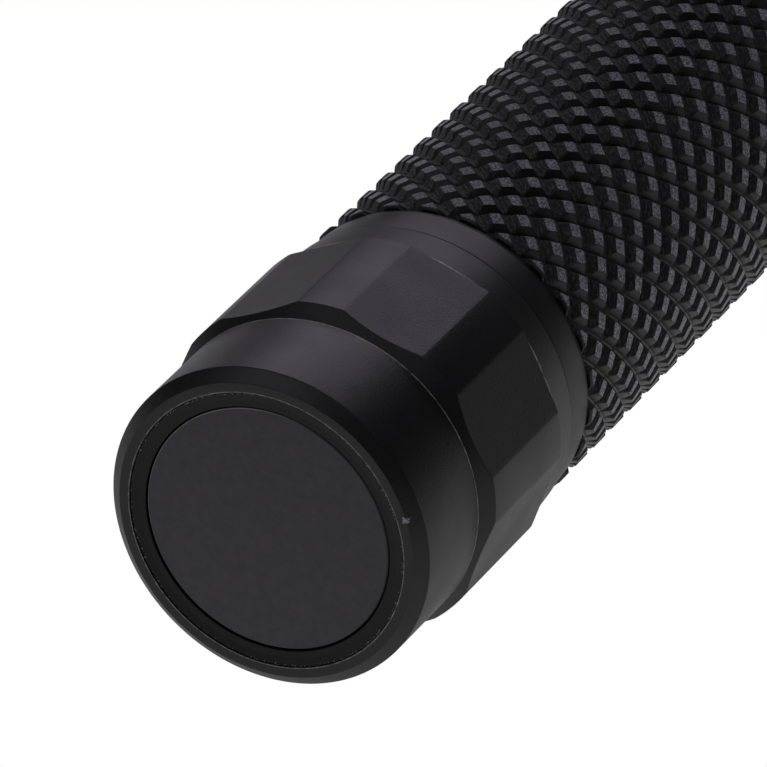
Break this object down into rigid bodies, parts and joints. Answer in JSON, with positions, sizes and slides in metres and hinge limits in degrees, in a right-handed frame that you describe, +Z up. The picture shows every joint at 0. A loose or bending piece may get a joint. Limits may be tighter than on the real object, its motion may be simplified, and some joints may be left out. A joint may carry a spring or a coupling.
{
  "type": "tactical flashlight",
  "caption": "Handheld aluminium tactical flashlight with a knurled body tube, a faceted screw-on tail cap with a flat push button, and a reflector head.",
  "frame": {"origin": "on the light's axis, in the plane of the tail cap's flat rim", "axes": "+Y along the beam, from tail to head; +Z up with the light lying on a floor on one of its head's flats"},
  "size_m": [0.032, 0.1324, 0.032],
  "materials": {
    "hard_anodised": "black type III hard anodising, bead blasted",
    "button_face": "matte, very fine grain",
    "silicone": "black, satin",
    "brass": "turned, bright",
    "black_plastic": "moulded",
    "white_plastic": "moulded",
    "circuit_board": "green solder mask",
    "chips": "moulded epoxy packages",
    "copper_board": "white mask on copper core",
    "spring_steel": "plated wire",
    "cell_steel": "nickel plated",
    "electrode_roll": "wound foil",
    "cell_wrap": "shrink sleeve",
    "stainless": "machined",
    "mirror": "vapour coated, smooth",
    "glass": "coated tempered glass",
    "phosphor": "LED phosphor under a clear dome",
    "wire": "silicone insulation"
  },
  "bodies": {
    "light_body": {"body_tube": "hard_anodised", "tail_oring": "silicone", "head_oring": "silicone", "cell_can": "cell_steel", "cell_core": "electrode_roll", "cell_wrap": "cell_wrap", "cell_insulator": "white_plastic", "cell_positive_cap": "cell_steel", "driver_contact_spring": "spring_steel", "driver_retaining_ring": "brass", "driver_board": "circuit_board", "driver_parts": "chips", "led_wires": "wire", "head_housing": "hard_anodised", "led_board": "copper_board", "board_screws": "stainless", "led_emitter": "phosphor", "led_gasket": "white_plastic", "reflector": "mirror", "lens": "glass", "lens_oring": "silicone", "bezel_ring": "hard_anodised"},
    "tail_carrier": {"boot_ring": "silicone"},
    "tail_cap_group": {"tail_cap": "hard_anodised", "boot_clamp_ring": "brass", "switch_housing": "black_plastic", "switch_spring": "spring_steel", "switch_spacer": "black_plastic", "switch_board": "circuit_board", "switch_retaining_ring": "hard_anodised", "tail_contact_spring": "spring_steel"},
    "button_group": {"tail_button": "button_face", "switch_plunger": "white_plastic"}
  },
  "joints": [
    {"name": "tail_cap_lead", "type": "slide", "parent": "light_body", "child": "tail_carrier", "axis": [0, -1, 0], "range_m": [0, 0.005]},
    {"name": "tail_cap_turn", "type": "hinge", "parent": "tail_carrier", "child": "tail_cap_group", "pos_m": [0, 0, 0], "axis": [0, -1, 0], "range_deg": [0, 1801]},
    {"name": "tail_button_press", "type": "slide", "parent": "tail_cap_group", "child": "button_group", "axis": [0, 1, 0], "range_m": [0, 0.0015], "stiffness_N_per_m": 1500, "springref_m": -0.001, "deforming": ["switch_spring"]}
  ],
  "couplings": [
    {"joint": "tail_cap_turn", "follows": "tail_cap_lead", "rad_per_m": 6283.2}
  ]
}
